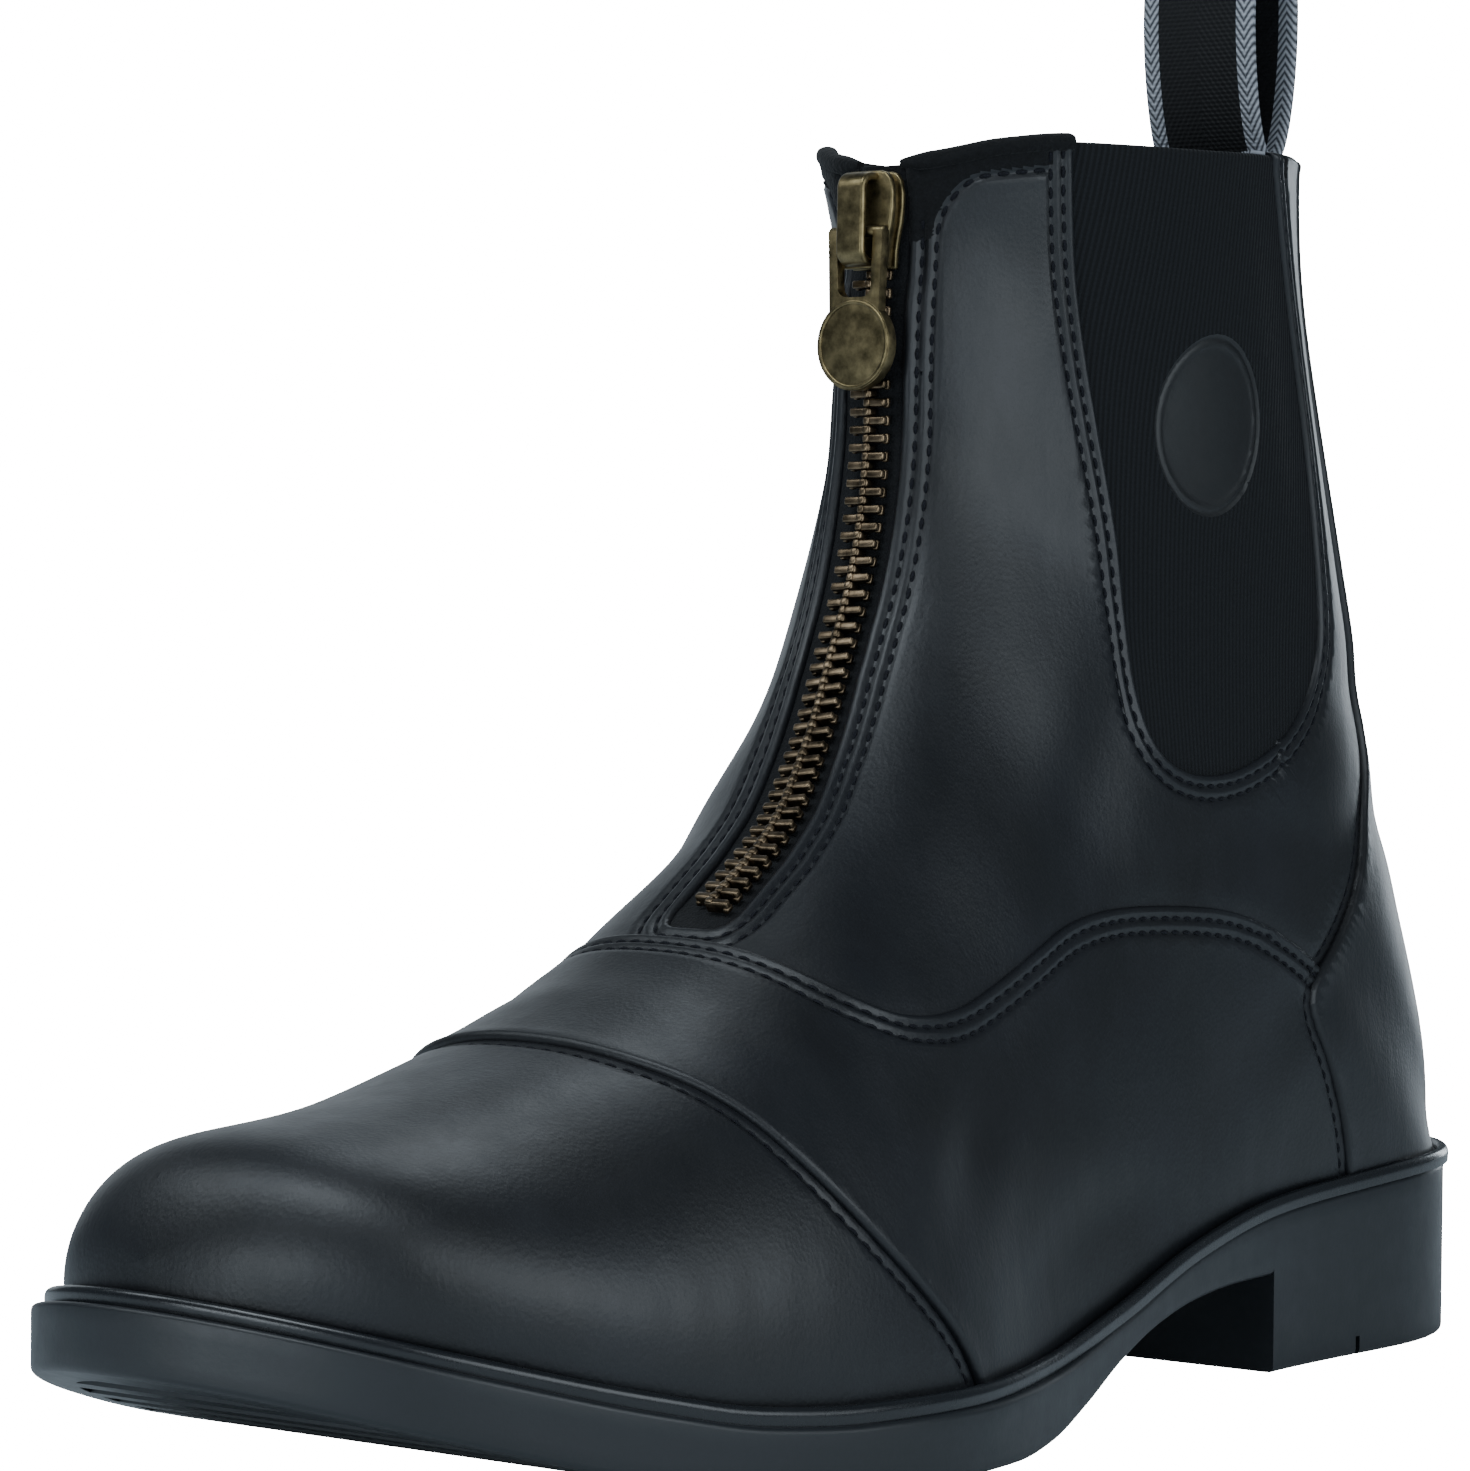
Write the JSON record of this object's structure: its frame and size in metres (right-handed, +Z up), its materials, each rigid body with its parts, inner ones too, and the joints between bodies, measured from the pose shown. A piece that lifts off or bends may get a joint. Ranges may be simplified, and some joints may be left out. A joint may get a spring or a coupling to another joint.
{
  "type": "paddock boot",
  "caption": "Ankle-high riding boot with a front zip, elastic gores on both sides, a toe cap, a low stacked heel and a pull loop, left foot.",
  "frame": {"origin": "on the floor under the middle of the sole's length and width", "axes": "+Y towards the heel and -Y towards the toe, +X towards the outer (lateral) side of a left foot, +Z up"},
  "size_m": [0.1039, 0.2864, 0.2292],
  "materials": {
    "leather": "smooth black, satin",
    "sole_rubber": "moulded, satin",
    "elastic": "ribbed, matte",
    "zip_tape": "woven, matte",
    "antique_brass": "darkened, half gloss",
    "webbing": "woven, matte, silver edges",
    "lining": "matte"
  },
  "bodies": {
    "boot": {"sole": "sole_rubber", "welt": "sole_rubber", "insole": "lining", "upper": "leather", "gore_lateral": "elastic", "gore_medial": "elastic", "zip_tape": "zip_tape", "zip_teeth": "antique_brass", "zip_slider": "antique_brass", "pull_loop": "webbing"},
    "pull_tab": {"pull_tab": "antique_brass"}
  },
  "joints": [
    {"name": "pull_tab_swing", "type": "hinge", "parent": "boot", "child": "pull_tab", "pos_m": [-0.00715, 0.00289, 0.17325], "axis": [-1, 0, 0], "range_deg": [0, 170]}
  ]
}
